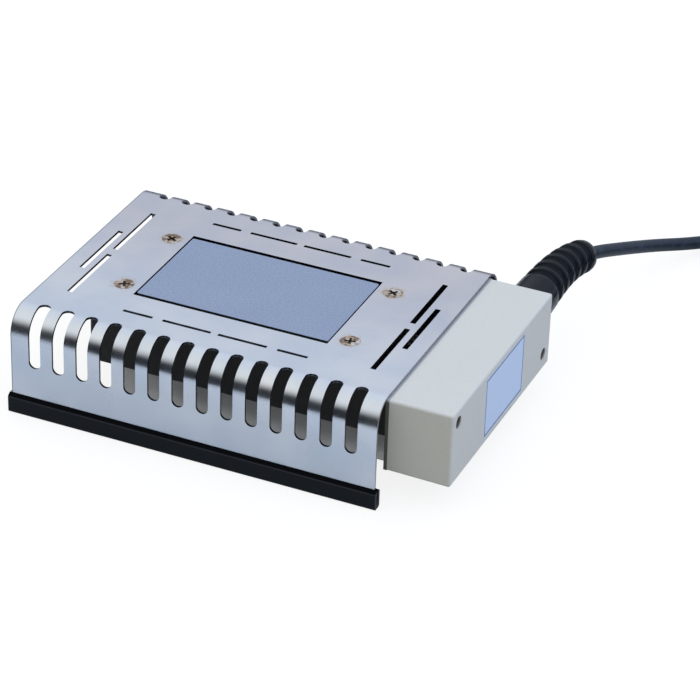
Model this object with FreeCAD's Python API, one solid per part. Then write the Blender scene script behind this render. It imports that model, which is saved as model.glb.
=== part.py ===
"""A bench heating plate in a slotted sheet-steel guard, with a connection box, a lead and its plug.

Millimetres. +X points to the connection box, +Y to the rear, +Z up.
The origin is on the bench, under the middle of the heater without its lead.
"""
import math
import os

import FreeCAD
import Part

V = FreeCAD.Vector
X_AXIS = V(1, 0, 0)
Z_AXIS = V(0, 0, 1)

# Guard: one bent sheet, open at both ends
COVER_LENGTH = 150.0
COVER_DEPTH = 116.8
COVER_TOP = 43.2
SHEET = 1.0
BEND_RADIUS = 10.0
LEG_BOTTOM = 1.8

# Slots over the two long bends
SLOT_COUNT = 14
SLOT_PITCH = 10.0
SLOT_WIDTH = 5.0
SLOT_LOWEST = 21.0
SLOT_REACH = 11.0

# Opening for the heating plate, and the vent slots in the top
OPENING_LENGTH = 80.6
OPENING_DEPTH = 51.4
DASH_Y = 38.0
DASH_WIDTH = 1.5
DASH_SPANS = ((-38.0, -25.7), (-21.5, -1.5), (1.5, 21.5), (25.7, 38.0))
VENT_WIDTH = 2.2
VENT_LENGTH = 32.4
OUTER_VENT_INSET = 7.7
INNER_VENT_INSET = 12.4
INNER_VENT_Y = 18.5

# Edge strips that the legs stand in
STRIP_WALL = 1.6
STRIP_HEIGHT = 8.3
STRIP_SHOULDER = 7.1
STRIP_OVERHANG = 1.0
STRIP_CORNER = 1.0

# Connection box on the right end
BOX_WIDTH = 25.8
BOX_HALF_DEPTH = 49.9
BOX_BOTTOM = 11.85
BOX_TAPER = 0.45
BOX_TOP = 41.8
BOX_WALL = 2.0
BOX_FLOOR = 2.35
BOX_FILLET = 1.0
BACK_PLATE = 1.4
BACK_PLATE_INSET = 0.5
BACK_PLATE_MARGIN = 0.1
BOX_SCREW_PLACES = ((-44.4, 36.6), (43.0, 18.4))
BOX_SCREW_RECESS = 8.0
BOX_BOSS_RADIUS = 4.3
LABEL_Y = (-17.6, 21.0)
LABEL_Z = (14.2, 39.4)
LABEL_THICKNESS = 0.25

# Heater pack under the plate, as heights above the bench
SCREW_SPACING_X = 94.0
SCREW_SPACING_Y = 40.0
PLATE_GAP_X = 0.6
PLATE_GAP_Y = 1.8
PLATE_CHAMFER = 0.12
FLANGE_TOP = 39.0
FLANGE_BOTTOM = 35.0
ELEMENT_BOTTOM = 33.4
PRESSURE_BOTTOM = 31.9
FLANGE_HALF = (50.5, 27.0)
ELEMENT_HALF = (42.0, 24.0)
TAB_Y = 8.0
SENSOR_Z = 37.0

# Black tray round the heater pack, and the shield under it
HOUSING_LEFT = -65.2
HOUSING_HALF_DEPTH = 37.5
HOUSING_BOTTOM = 18.0
HOUSING_WALL = 0.8
BAFFLE_X = 41.0
SHIELD_LEFT = -51.5
SHIELD_RIGHT = 61.8
SHIELD_BOTTOM = 6.4
SHIELD_HEAD = 1.6
SHIELD_SCREWS = ((-40.0, -28.0), (-40.0, 28.0), (50.0, -28.0), (50.0, 28.0))
RIVET_Y = 30.0
RIVET_Z = (23.0, 36.0)
EARTH_X = 52.0

# Wiring
WIRE_DIAMETER = 1.7
CORE_DIAMETER = 0.85
CORE_PITCH = 0.95
CORE_LANE_PITCH = 1.9
CORE_LANE_MID = 69.9
POLE_PITCH = 8.0
POLE_COUNT = 5
GROMMET_PITCH = 3.0
WIRE_LEVEL = 35.0
BLOCK_X = (64.9, 76.9)
BLOCK_Z = (20.0, 31.0)
BLOCK_HALF = 22.0
WIRE_ENTRY_X = 70.9
WIRE_TURN_X = 66.5
TAB_LENGTH = 9.5

# Lead and its strain relief
CORD_DIAMETER = 5.4
RELIEF_X = 76.6
RELIEF_Z = 30.1
RELIEF_LENGTH = 59.2
RELIEF_COLLAR = 17.5
RELIEF_BASE_RADIUS = 9.3
RELIEF_TIP_RADIUS = 6.8
RELIEF_SIDEWAYS = 3.7
RELIEF_DROOP = 3.2
RIB_COUNT = 6
RIB_DEPTH = 1.3
CORD_CLAMP_Y = 40.0
CORD_CLAMP_SPREAD = 5.4
JACKET_END_Y = 34.0

# The lead's free route, from the strain relief down to the bench and on to the coil
LEAD_OUT = 9.0
LEAD_ROUTE = (
    V(87.0, 134.0, 19.3),
    V(91.0, 148.4, 14.2),
    V(95.6, 160.6, 10.1),
    V(102.6, 173.2, 6.2),
    V(111.0, 184.2, 4.2),
    V(120.6, 194.3, 3.5),
)
LEAD_IN = 13.0

# Put-away coil: two layers of turns, wound inwards and out again
COIL_CENTRE = V(161.0, 175.0, 0.0)
COIL_START_ANGLE = 110.0
COIL_TURNS = 6.25
COIL_INNER_RADIUS = 18.2
COIL_STEP = 6.0
COIL_LAYER = 6.0
COIL_FLOOR = 0.95
TIE_ANGLE = -35.0
TIE_THICKNESS = 0.8
TIE_WIDTH = 5.0
TIE_GAP = 0.12
TIE_SIDE_GAP = 0.4

# From the coil to the plug that lies beside it
TAIL_OUT = 12.0
TAIL_TURN = V(202.4, 159.8, 9.0)
PLUG_START = V(202.4, 148.8, 9.0)

# Plug, as distances along its axis and radii
PLUG_AXIS = V(0, -1, 0)
BOOT_LENGTH = 17.0
BOOT_RADII = (3.9, 6.2)
SHELL_SPAN = (15.0, 39.0)
SHELL_RADIUS = 8.9
NOSE_END = 52.0
NOSE_RADIUS = 6.4
NOSE_BORE = 5.3
RING_SPAN = (39.4, 53.5)
RING_RADIUS = 8.3
RING_BORE = 7.6
RING_FLANGE = 1.8
RING_CLEARANCE = 0.35
CLIP_SPAN = (41.6, 42.6)
CLIP_RADII = (5.9, 7.2)
PIN_COUNT = 7
PIN_CIRCLE = 3.4
PIN_RADIUS = 0.5

# Places that follow from the driving dimensions
COVER_LEFT = STRIP_OVERHANG - (STRIP_OVERHANG + COVER_LENGTH + BOX_WIDTH) / 2
COVER_RIGHT = COVER_LEFT + COVER_LENGTH
COVER_MID = (COVER_LEFT + COVER_RIGHT) / 2
BOX_RIGHT = COVER_RIGHT + BOX_WIDTH
HOUSING_RIGHT = COVER_RIGHT - BACK_PLATE_INSET
BOX_OPEN = HOUSING_RIGHT + BACK_PLATE
HALF_DEPTH = COVER_DEPTH / 2
HOUSING_FLOOR = HOUSING_BOTTOM + HOUSING_WALL
UNDER_COVER = COVER_TOP - SHEET
CORD_RADIUS = CORD_DIAMETER / 2
PLATE_SCREWS = [
    (COVER_MID + side * SCREW_SPACING_X / 2, depth * SCREW_SPACING_Y / 2)
    for side in (-1, 1)
    for depth in (-1, 1)
]
CLAMP_SCREW_Z = (RELIEF_Z - CORD_CLAMP_SPREAD, RELIEF_Z + CORD_CLAMP_SPREAD)
POLES = [POLE_PITCH * (i - (POLE_COUNT - 1) / 2) for i in range(POLE_COUNT)]
BLOCK_FIXINGS = (-1.5 * POLE_PITCH, 1.5 * POLE_PITCH)
BLOCK_MID = sum(BLOCK_Z) / 2


def block(x, y, z):
    """A box between two limits on each axis."""
    return Part.makeBox(x[1] - x[0], y[1] - y[0], z[1] - z[0], V(x[0], y[0], z[0]))


def rod(radius, start, end):
    """A round bar from one point to another."""
    return Part.makeCylinder(radius, (end - start).Length, start, end - start)


def cone(radius_start, radius_end, start, end):
    return Part.makeCone(radius_start, radius_end, (end - start).Length, start, end - start)


def joined(shapes):
    return shapes[0].multiFuse(shapes[1:]).removeSplitter()


def cut(shape, tools):
    return shape.cut(Part.makeCompound(tools)).removeSplitter()


def prism_x(points, x):
    """A straight-edged profile in Y and Z, drawn out between two places on X."""
    wire = Part.makePolygon([V(x[0], py, pz) for py, pz in points + points[:1]])
    return Part.Face(wire).extrude(V(x[1] - x[0], 0, 0))


def oval_x(x, y, z, half_length, radius):
    """A bar along X with an oval section whose long side is along Y."""
    ends = [rod(radius, V(x[0], y + s * half_length, z), V(x[1], y + s * half_length, z)) for s in (-1, 1)]
    return joined([block(x, (y - half_length, y + half_length), (z - radius, z + radius))] + ends)


def hexagon(centre, across_flats, height):
    radius = across_flats / math.sqrt(3)
    corners = [
        centre + V(radius * math.cos(math.radians(60 * i)), radius * math.sin(math.radians(60 * i)), 0)
        for i in range(7)
    ]
    return Part.Face(Part.makePolygon(corners)).extrude(V(0, 0, height))


def cross_recess(top, inward, size, depth, turn):
    """The cross that a screwdriver fits, to be cut from a screw's head."""
    bars = []
    for angle in (turn, turn + 90):
        bar = Part.makeBox(size, size / 4.5, depth, V(-size / 2, -size / 9, -depth))
        bar.rotate(V(0, 0, 0), Z_AXIS, angle)
        bars.append(bar)
    tool = joined(bars)
    tool.Placement = FreeCAD.Placement(top, FreeCAD.Rotation(Z_AXIS, inward * -1))
    return tool


def pan_screw(seat, inward, head_radius, head_height, shank_radius, length, turn=20):
    """A pan-head screw whose head sits on seat and whose shank goes inward."""
    outward = inward * -1
    head_top = seat + outward * head_height
    head = rod(head_radius, seat, head_top)
    circles = [e for e in head.Edges if isinstance(e.Curve, Part.Circle)]
    rim = [e for e in circles if (e.Curve.Center - head_top).Length < 1e-6]
    head = head.makeFillet(head_height * 0.45, rim)
    body = joined([head, rod(shank_radius, seat, seat + inward * length)])
    return body.cut(cross_recess(head_top, inward, head_radius * 1.2, head_height * 0.7, turn))


def countersunk_screw(top, head_radius, shank_radius, length, turn):
    """A countersunk screw that points down, with its head flush at top."""
    seat = top - Z_AXIS * (head_radius - shank_radius)
    head = cone(head_radius, shank_radius, top, seat)
    shank = rod(shank_radius, seat, top - Z_AXIS * length)
    return joined([head, shank]).cut(cross_recess(top, Z_AXIS * -1, head_radius * 1.15, 1.3, turn))


def route_path(points):
    """Straight runs with an arc at every turn, as large as the two runs allow.

    Gives the wire and the arcs' radii.
    """
    edges = []
    radii = []
    here = points[0]
    for before, corner, after in zip(points, points[1:], points[2:]):
        inward = (corner - before).normalize()
        outward = (after - corner).normalize()
        turn = inward.getAngle(outward)
        reach = 0.45 * min((corner - before).Length, (after - corner).Length)
        radius = reach / math.tan(turn / 2)
        start = corner - inward * reach
        end = corner + outward * reach
        bisector = (outward - inward).normalize()
        middle = corner + bisector * (radius / math.cos(turn / 2) - radius)
        edges.append(Part.LineSegment(here, start).toShape())
        edges.append(Part.Arc(start, middle, end).toShape())
        radii.append(radius)
        here = end
    edges.append(Part.LineSegment(here, points[-1]).toShape())
    return Part.Wire(edges), radii


def swept(path, radius):
    """A round tube along a wire."""
    first = path.OrderedEdges[0]
    start = first.valueAt(first.FirstParameter)
    along = first.tangentAt(first.FirstParameter)
    return path.makePipeShell([Part.Wire(Part.makeCircle(radius, start, along))], True, False)


def wire_along(points, diameter):
    return swept(route_path(points)[0], diameter / 2)


def relief_point(distance):
    """Centre of the strain relief at a distance along it: straight at the collar, then bent."""
    share = max(0.0, (distance - RELIEF_COLLAR) / (RELIEF_LENGTH - RELIEF_COLLAR))
    return V(
        RELIEF_X + RELIEF_SIDEWAYS * share ** 3,
        BOX_HALF_DEPTH + distance,
        RELIEF_Z - RELIEF_DROOP * share ** 3,
    )


def relief_direction(distance):
    span = 0.01
    return (relief_point(distance + span) - relief_point(distance - span)).normalize()


def relief_circle(distance, radius):
    """One section of the strain relief. Its seam stays on the same side all along."""
    axis = relief_direction(distance)
    side = (X_AXIS - axis * X_AXIS.dot(axis)).normalize()
    circle = Part.Circle(relief_point(distance), axis, radius)
    circle.XAxis = side
    return Part.Wire(circle.toShape())


def coil_point(turns):
    """Centre of the wound lead after a number of turns, clockwise from above."""
    middle = COIL_TURNS / 2
    radius = COIL_INNER_RADIUS + COIL_STEP * abs(turns - middle)
    climb = min(1.0, max(0.0, (turns - middle) / 0.5 + 0.5))
    angle = math.radians(COIL_START_ANGLE - 360 * turns)
    height = COIL_FLOOR + CORD_RADIUS + COIL_LAYER * climb * climb * (3 - 2 * climb)
    return COIL_CENTRE + V(radius * math.cos(angle), radius * math.sin(angle), height)


def coil_direction(turns):
    span = 1e-4
    low = max(0.0, turns - span)
    high = min(COIL_TURNS, turns + span)
    return (coil_point(high) - coil_point(low)).normalize()


def biarc(start, start_way, end, end_way):
    """Two arcs that meet smoothly and leave and arrive along the given ways."""
    chord = end - start
    ways = start_way + end_way
    flat = 2 * (1 - start_way.dot(end_way))
    lean = chord.dot(ways)
    reach = (-lean + math.sqrt(lean * lean + flat * chord.Length ** 2)) / flat
    leave = start + start_way * reach
    arrive = end - end_way * reach
    meet = (leave + arrive) * 0.5
    arcs = []
    for low, corner, high in ((start, leave, meet), (meet, arrive, end)):
        inward = (corner - low).normalize()
        outward = (high - corner).normalize()
        turn = inward.getAngle(outward)
        bulge = (corner - low).Length * math.tan(turn / 4)
        half = (low + high) * 0.5
        crown = half + (corner - half).normalize() * (bulge * math.cos(turn / 2))
        arcs.append(Part.Arc(low, crown, high).toShape())
    return arcs


def make_cover():
    outer = BEND_RADIUS
    inner = BEND_RADIUS - SHEET
    bend_y = HALF_DEPTH - BEND_RADIUS
    bend_z = COVER_TOP - BEND_RADIUS
    slant = math.sqrt(0.5)
    x = COVER_LEFT

    def line(a, b):
        return Part.LineSegment(V(x, *a), V(x, *b)).toShape()

    def bend(side, radius):
        mid_y = side * (bend_y + radius * slant)
        return Part.Arc(
            V(x, side * (bend_y + radius), bend_z),
            V(x, mid_y, bend_z + radius * slant),
            V(x, side * bend_y, bend_z + radius),
        ).toShape()

    edges = []
    for radius in (outer, inner):
        foot = bend_y + radius
        flat = bend_z + radius
        edges += [bend(-1, radius), bend(1, radius), line((-bend_y, flat), (bend_y, flat))]
        edges += [line((side * foot, LEG_BOTTOM), (side * foot, bend_z)) for side in (-1, 1)]
    for side in (-1, 1):
        edges.append(line((side * HALF_DEPTH, LEG_BOTTOM), (side * (HALF_DEPTH - SHEET), LEG_BOTTOM)))
    profile = Part.Wire(Part.__sortEdges__(edges))
    sheet = Part.Face(profile).extrude(V(COVER_LENGTH, 0, 0))

    seat_radius = 3.9
    seat_depth = 1.75
    for sx, sy in PLATE_SCREWS:
        dimple = cone(4.3, 2.75, V(sx, sy, UNDER_COVER), V(sx, sy, UNDER_COVER - 1.55))
        sheet = sheet.fuse(dimple)
    tools = []
    for sx, sy in PLATE_SCREWS:
        top = V(sx, sy, COVER_TOP)
        tools.append(cone(seat_radius, seat_radius - seat_depth, top, top - Z_AXIS * seat_depth))
        tools.append(rod(seat_radius - seat_depth, top, top - Z_AXIS * 4))
    sheet = cut(sheet, tools)

    tools = [
        block(
            (COVER_MID - OPENING_LENGTH / 2, COVER_MID + OPENING_LENGTH / 2),
            (-OPENING_DEPTH / 2, OPENING_DEPTH / 2),
            (UNDER_COVER - 1, COVER_TOP + 1),
        )
    ]
    half = SLOT_WIDTH / 2
    for index in range(SLOT_COUNT):
        sx = COVER_LEFT + SLOT_PITCH * (index + 1)
        for side in (-1, 1):
            face = side * (HALF_DEPTH + 1)
            reach = side * (HALF_DEPTH - SLOT_REACH + half)
            low = SLOT_LOWEST + half
            tools.append(
                joined(
                    [
                        block((sx - half, sx + half), sorted((face, reach)), (low, COVER_TOP + 1)),
                        rod(half, V(sx, face, low), V(sx, side * (HALF_DEPTH - 4), low)),
                        rod(half, V(sx, reach, COVER_TOP + 1), V(sx, reach, UNDER_COVER - 6)),
                    ]
                )
            )
    through = (UNDER_COVER - 1, COVER_TOP + 1)
    for side in (-1, 1):
        for low, high in DASH_SPANS:
            y = side * DASH_Y
            width = (y - DASH_WIDTH / 2, y + DASH_WIDTH / 2)
            tools.append(block((COVER_MID + low, COVER_MID + high), width, through))
        end = COVER_MID + side * COVER_LENGTH / 2
        vents = [(OUTER_VENT_INSET, 0.0)] + [(INNER_VENT_INSET, y) for y in (-INNER_VENT_Y, INNER_VENT_Y)]
        for inset, y in vents:
            sx = end - side * inset
            tools.append(
                block(
                    (sx - VENT_WIDTH / 2, sx + VENT_WIDTH / 2),
                    (y - VENT_LENGTH / 2, y + VENT_LENGTH / 2),
                    through,
                )
            )
    return cut(sheet, tools)


def make_edge_strip(side):
    outer = HALF_DEPTH + STRIP_WALL
    inner = HALF_DEPTH - SHEET - STRIP_WALL
    body = prism_x(
        [
            (side * outer, 0.0),
            (side * outer, STRIP_SHOULDER),
            (side * HALF_DEPTH, STRIP_HEIGHT),
            (side * HALF_DEPTH, LEG_BOTTOM),
            (side * (HALF_DEPTH - SHEET), LEG_BOTTOM),
            (side * (HALF_DEPTH - SHEET), STRIP_HEIGHT),
            (side * inner, STRIP_SHOULDER),
            (side * inner, 0.0),
        ],
        (COVER_LEFT - STRIP_OVERHANG, COVER_RIGHT + STRIP_OVERHANG),
    )
    low = [e for e in body.Edges if e.BoundBox.ZMax < 1e-6 and e.BoundBox.XLength > 1]
    return body.makeFillet(STRIP_CORNER, low)


def make_heating_plate():
    half_x = OPENING_LENGTH / 2 - PLATE_GAP_X
    half_y = OPENING_DEPTH / 2 - PLATE_GAP_Y
    top = block((COVER_MID - half_x, COVER_MID + half_x), (-half_y, half_y), (FLANGE_TOP, COVER_TOP))
    uprights = [e for e in top.Edges if e.BoundBox.ZLength > 1]
    top = top.makeFillet(0.8, uprights)
    rim = [e for e in top.Edges if e.BoundBox.ZMin > COVER_TOP - 1e-6]
    top = top.makeChamfer(PLATE_CHAMFER, rim)
    flange = block(
        (COVER_MID - FLANGE_HALF[0], COVER_MID + FLANGE_HALF[0]),
        (-FLANGE_HALF[1], FLANGE_HALF[1]),
        (FLANGE_BOTTOM, FLANGE_TOP),
    )
    holes = [rod(2.15, V(sx, sy, FLANGE_BOTTOM - 1), V(sx, sy, FLANGE_TOP + 1)) for sx, sy in PLATE_SCREWS]
    edge = COVER_MID + FLANGE_HALF[0]
    holes.append(rod(1.6, V(edge + 1, 0, SENSOR_Z), V(edge - 28, 0, SENSOR_Z)))
    return cut(joined([top, flange]), holes)


def make_heating_element():
    right = COVER_MID + ELEMENT_HALF[0]
    body = block(
        (COVER_MID - ELEMENT_HALF[0], right),
        (-ELEMENT_HALF[1], ELEMENT_HALF[1]),
        (ELEMENT_BOTTOM, FLANGE_BOTTOM),
    )
    tab_z = (FLANGE_BOTTOM - 1.0, FLANGE_BOTTOM - 0.5)
    tabs = [block((right, right + TAB_LENGTH), (y - 2, y + 2), tab_z) for y in (-TAB_Y, TAB_Y)]
    return joined([body] + tabs)


def make_pressure_plate():
    return block(
        (COVER_MID - ELEMENT_HALF[0], COVER_MID + ELEMENT_HALF[0]),
        (-ELEMENT_HALF[1], ELEMENT_HALF[1]),
        (PRESSURE_BOTTOM, ELEMENT_BOTTOM),
    )


def make_insulation_board():
    inset = 0.2
    half = HOUSING_HALF_DEPTH - HOUSING_WALL - inset
    board = block(
        (HOUSING_LEFT + HOUSING_WALL + inset, BAFFLE_X - inset),
        (-half, half),
        (HOUSING_FLOOR, PRESSURE_BOTTOM),
    )
    holes = [rod(4.4, V(sx, sy, HOUSING_FLOOR), V(sx, sy, PRESSURE_BOTTOM)) for sx, sy in PLATE_SCREWS]
    holes += [rod(3.8, V(sx, sy, HOUSING_FLOOR), V(sx, sy, HOUSING_FLOOR + 4)) for sx, sy in SHIELD_SCREWS]
    return cut(board, holes)


def make_standoffs():
    posts = []
    for sx, sy in PLATE_SCREWS:
        post = hexagon(V(sx, sy, HOUSING_FLOOR), 7.0, FLANGE_BOTTOM - HOUSING_FLOOR)
        spigot = rod(2.5, V(sx, sy, HOUSING_BOTTOM), V(sx, sy, HOUSING_FLOOR))
        thread = rod(2.05, V(sx, sy, FLANGE_BOTTOM - 9), V(sx, sy, FLANGE_BOTTOM))
        posts.append(joined([post, spigot]).cut(thread))
    return Part.makeCompound(posts)


def make_ceramic_spacers():
    washers = []
    for sx, sy in PLATE_SCREWS:
        washer = rod(4.8, V(sx, sy, FLANGE_TOP), V(sx, sy, UNDER_COVER))
        seat = cone(4.4, 2.85, V(sx, sy, UNDER_COVER), V(sx, sy, UNDER_COVER - 1.55))
        bore = rod(2.85, V(sx, sy, FLANGE_TOP), V(sx, sy, UNDER_COVER - 1.55))
        washers.append(cut(washer, [seat, bore]))
    return Part.makeCompound(washers)


def make_plate_screws():
    return Part.makeCompound(
        [
            countersunk_screw(V(sx, sy, COVER_TOP), 3.8, 1.95, 15.0, 25 + 40 * index)
            for index, (sx, sy) in enumerate(PLATE_SCREWS)
        ]
    )


def grommet_hole(x, radius):
    return oval_x(x, 0, WIRE_LEVEL, GROMMET_PITCH * 2, radius)


def make_heater_housing():
    wall = HOUSING_WALL
    half = HOUSING_HALF_DEPTH
    tray = block((HOUSING_LEFT, HOUSING_RIGHT), (-half, half), (HOUSING_BOTTOM, UNDER_COVER))
    uprights = [e for e in tray.Edges if e.BoundBox.ZLength > 1 and e.BoundBox.XMax < 0]
    tray = tray.makeFillet(1.5, uprights)
    inside = (HOUSING_LEFT + wall, HOUSING_RIGHT - wall)
    tools = [block(inside, (wall - half, half - wall), (HOUSING_FLOOR, UNDER_COVER + 1))]
    for sx, sy in PLATE_SCREWS:
        tools.append(rod(2.5, V(sx, sy, HOUSING_BOTTOM - 1), V(sx, sy, HOUSING_FLOOR)))
    for sx, sy in list(SHIELD_SCREWS) + [(EARTH_X, 0.0)]:
        tools.append(rod(1.6, V(sx, sy, HOUSING_BOTTOM - 1), V(sx, sy, HOUSING_FLOOR)))
    for y in (-RIVET_Y, RIVET_Y):
        for z in RIVET_Z:
            tools.append(rod(1.6, V(inside[1] - 1, y, z), V(HOUSING_RIGHT + 1, y, z)))
    tools.append(grommet_hole((inside[1] - 1, HOUSING_RIGHT + 1), 3.0))
    return cut(tray, tools)


def make_heat_baffle():
    gap = 0.1
    half = HOUSING_HALF_DEPTH - HOUSING_WALL - gap
    x = (BAFFLE_X, BAFFLE_X + 1.2)
    plate = block(x, (-half, half), (HOUSING_FLOOR, UNDER_COVER - gap))
    lead_z = FLANGE_BOTTOM - 0.75
    tools = [rod(1.7, V(x[0] - 1, y, lead_z), V(x[1] + 1, y, lead_z)) for y in (-TAB_Y, TAB_Y)]
    tools.append(rod(2.8, V(x[0] - 1, 0, SENSOR_Z), V(x[1] + 1, 0, SENSOR_Z)))
    return cut(plate, tools)


def make_heat_shield():
    wall = SHEET
    half = HOUSING_HALF_DEPTH
    pan = block((SHIELD_LEFT, SHIELD_RIGHT), (-half, half), (SHIELD_BOTTOM, HOUSING_BOTTOM))
    bends = [e for e in pan.Edges if e.BoundBox.ZMax < SHIELD_BOTTOM + 1e-6 and e.BoundBox.XLength > 1]
    pan = pan.makeFillet(1.5, bends)
    hollow = block(
        (SHIELD_LEFT + wall, SHIELD_RIGHT + 1),
        (wall - half, half - wall),
        (SHIELD_BOTTOM + wall, HOUSING_BOTTOM + 1),
    )
    holes = [rod(1.6, V(sx, sy, SHIELD_BOTTOM - 1), V(sx, sy, HOUSING_BOTTOM)) for sx, sy in SHIELD_SCREWS]
    return cut(pan, [hollow] + holes)


def make_shield_spacers():
    return Part.makeCompound(
        [
            rod(3.5, V(sx, sy, SHIELD_BOTTOM + SHEET), V(sx, sy, HOUSING_BOTTOM)).cut(
                rod(1.7, V(sx, sy, SHIELD_BOTTOM), V(sx, sy, HOUSING_BOTTOM + 1))
            )
            for sx, sy in SHIELD_SCREWS
        ]
    )


def make_shield_screws():
    length = HOUSING_FLOOR + 3.4 - SHIELD_BOTTOM
    return Part.makeCompound(
        [
            pan_screw(V(sx, sy, SHIELD_BOTTOM), Z_AXIS, 2.9, SHIELD_HEAD, 1.45, length)
            for sx, sy in SHIELD_SCREWS
        ]
    )


def make_shield_nuts():
    return Part.makeCompound(
        [
            hexagon(V(sx, sy, HOUSING_FLOOR), 5.5, 2.4).cut(
                rod(1.5, V(sx, sy, HOUSING_FLOOR - 1), V(sx, sy, HOUSING_FLOOR + 4))
            )
            for sx, sy in SHIELD_SCREWS
        ]
    )


def make_temperature_sensor():
    edge = COVER_MID + FLANGE_HALF[0]
    tip = rod(1.55, V(edge - 27, 0, SENSOR_Z), V(edge, 0, SENSOR_Z))
    return joined([tip, rod(2.3, V(edge, 0, SENSOR_Z), V(edge + 1.5, 0, SENSOR_Z))])


def into_block(pole, lane):
    """The last stretch of a wire: through the grommet and down into its pole of the terminal block."""
    return [
        V(COVER_RIGHT - 6, lane, WIRE_LEVEL),
        V(WIRE_TURN_X, lane, WIRE_LEVEL + 0.05),
        V(WIRE_ENTRY_X, pole, WIRE_LEVEL),
        V(WIRE_ENTRY_X, pole, BLOCK_Z[1] - 3),
    ]


def make_sensor_leads():
    edge = COVER_MID + FLANGE_HALF[0] + 1.5
    leads = []
    for side in (-1, 1):
        points = [V(edge, side * 1.15, SENSOR_Z), V(edge + 8, side * 1.15, SENSOR_Z)]
        points += into_block(side * POLE_PITCH, side * GROMMET_PITCH)
        leads.append(wire_along(points, WIRE_DIAMETER))
    return Part.makeCompound(leads)


def make_heater_leads():
    leads = []
    level = FLANGE_BOTTOM - 0.75
    start = COVER_MID + ELEMENT_HALF[0] + TAB_LENGTH
    for side in (-1, 1):
        points = [V(start, side * TAB_Y, level), V(start + 9, side * TAB_Y, level)]
        points += into_block(side * 2 * POLE_PITCH, side * 2 * GROMMET_PITCH)
        leads.append(wire_along(points, WIRE_DIAMETER))
    return Part.makeCompound(leads)


def make_earth_lead():
    foot = HOUSING_FLOOR + 0.8
    points = [
        V(EARTH_X + 4.2, 0, foot),
        V(EARTH_X + 4.2, 0, foot + 6),
        V(EARTH_X + 3.6, 0, WIRE_LEVEL - 3),
        V(COVER_RIGHT - 2, 0, WIRE_LEVEL),
    ]
    points += into_block(0, 0)[1:]
    lug = rod(3.2, V(EARTH_X, 0, HOUSING_FLOOR), V(EARTH_X, 0, foot))
    tongue = block((EARTH_X, EARTH_X + 5.2), (-1.2, 1.2), (HOUSING_FLOOR, foot))
    lug = joined([lug, tongue]).cut(rod(1.6, V(EARTH_X, 0, HOUSING_FLOOR - 1), V(EARTH_X, 0, foot + 1)))
    return joined([lug, wire_along(points, WIRE_DIAMETER)])


def make_earth_screw():
    return pan_screw(V(EARTH_X, 0, HOUSING_FLOOR + 0.8), Z_AXIS * -1, 2.8, 1.9, 1.5, 4.0)


def make_lead_grommet():
    walls = (HOUSING_RIGHT - HOUSING_WALL, BOX_OPEN)
    lips = [(walls[0] - 1.2, walls[0]), (walls[1], walls[1] + 1.0)]
    body = joined([grommet_hole(walls, 3.0)] + [grommet_hole(x, 4.2) for x in lips])
    return body.cut(grommet_hole((walls[0] - 2, walls[1] + 2), 1.8))


def make_box_back_plate():
    half = BOX_HALF_DEPTH - BACK_PLATE_MARGIN
    x = (HOUSING_RIGHT, BOX_OPEN)
    z = (BOX_BOTTOM + BACK_PLATE_MARGIN, BOX_TOP - BACK_PLATE_MARGIN)
    plate = block(x, (-half, half), z)
    holes = [(1.6, ry, rz) for ry in (-RIVET_Y, RIVET_Y) for rz in RIVET_Z]
    holes += [(1.55, sy, sz) for sy, sz in BOX_SCREW_PLACES]
    holes += [(1.3, by, BLOCK_MID) for by in BLOCK_FIXINGS]
    tools = [rod(radius, V(x[0] - 1, hy, hz), V(x[1] + 1, hy, hz)) for radius, hy, hz in holes]
    tools.append(grommet_hole((x[0] - 1, x[1] + 1), 3.0))
    return cut(plate, tools)


def make_plate_rivets():
    walls = (HOUSING_RIGHT - HOUSING_WALL, BOX_OPEN)
    rivets = []
    for y in (-RIVET_Y, RIVET_Y):
        for z in RIVET_Z:
            shank = rod(1.6, V(walls[0], y, z), V(walls[1], y, z))
            head = cone(3.0, 2.2, V(walls[1], y, z), V(walls[1] + 1.1, y, z))
            upset = cone(2.4, 1.9, V(walls[0], y, z), V(walls[0] - 1.6, y, z))
            rivets.append(joined([shank, head, upset]))
    return Part.makeCompound(rivets)


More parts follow.
